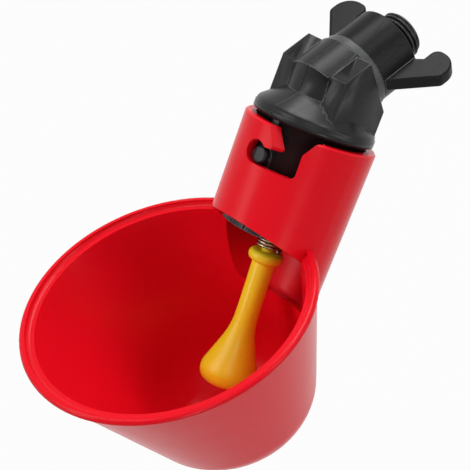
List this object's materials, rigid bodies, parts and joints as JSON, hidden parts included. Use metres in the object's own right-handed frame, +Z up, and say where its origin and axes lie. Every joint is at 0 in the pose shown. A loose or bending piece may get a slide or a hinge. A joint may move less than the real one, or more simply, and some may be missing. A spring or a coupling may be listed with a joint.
{
  "type": "poultry drinking cup",
  "caption": "Round drinking cup for poultry on a slanted neck with a bayonet joint, a spring-loaded trigger valve and a threaded inlet with a wing nut.",
  "frame": {"origin": "on the inlet's axis, at the shoulder that the sealing washer sits against", "axes": "+Y along the threaded inlet towards the wall, +Z up, the bowl lies towards -Y with its rim level"},
  "size_m": [0.0798, 0.1331, 0.0889],
  "materials": {
    "cup_red": "glossy moulded polypropylene",
    "body_black": "moulded plastic, satin",
    "washer_grey": "soft grey",
    "nut_black": "moulded plastic, satin",
    "retainer_black": "moulded plastic, satin",
    "seat_rubber": "soft",
    "pin_steel": "bright",
    "spring_steel": "bright wire",
    "trigger_yellow": "glossy moulded plastic"
  },
  "bodies": {
    "valve": {"valve_body": "body_black", "seat_retainer": "retainer_black", "valve_seat": "seat_rubber"},
    "bowl": {"cup": "cup_red"},
    "spring": {"return_spring": "spring_steel"},
    "lever": {"trigger": "trigger_yellow", "valve_pin": "pin_steel"},
    "washer": {"sealing_washer": "washer_grey"},
    "nut": {"wing_nut": "nut_black"}
  },
  "joints": [
    {"name": "bayonet_turn", "type": "hinge", "parent": "valve", "child": "bowl", "pos_m": [0, -0.0084, 0], "axis": [0, -0.7071, -0.7071], "range_deg": [-5, 31]},
    {"name": "trigger_tilt", "type": "hinge", "parent": "valve", "child": "spring", "pos_m": [0, -0.03173, -0.02334], "axis": [1, 0, 0], "range_deg": [-9, 5], "stiffness_Nm_per_rad": 0.06, "springref_deg": -0.86},
    {"name": "trigger_swing", "type": "hinge", "parent": "spring", "child": "lever", "pos_m": [0, -0.03173, -0.02334], "axis": [0, -0.7547, 0.6561], "range_deg": [-6, 6], "stiffness_Nm_per_rad": 0.06},
    {"name": "washer_slide", "type": "slide", "parent": "valve", "child": "washer", "axis": [0, 1, 0], "range_m": [0, 0.0161]},
    {"name": "nut_turn", "type": "hinge", "parent": "washer", "child": "nut", "pos_m": [0, 0, 0], "axis": [0, 1, 0], "range_deg": [0, 4320]}
  ],
  "couplings": [
    {"joint": "washer_slide", "follows": "nut_turn", "m_per_rad": 0.00021279}
  ]
}
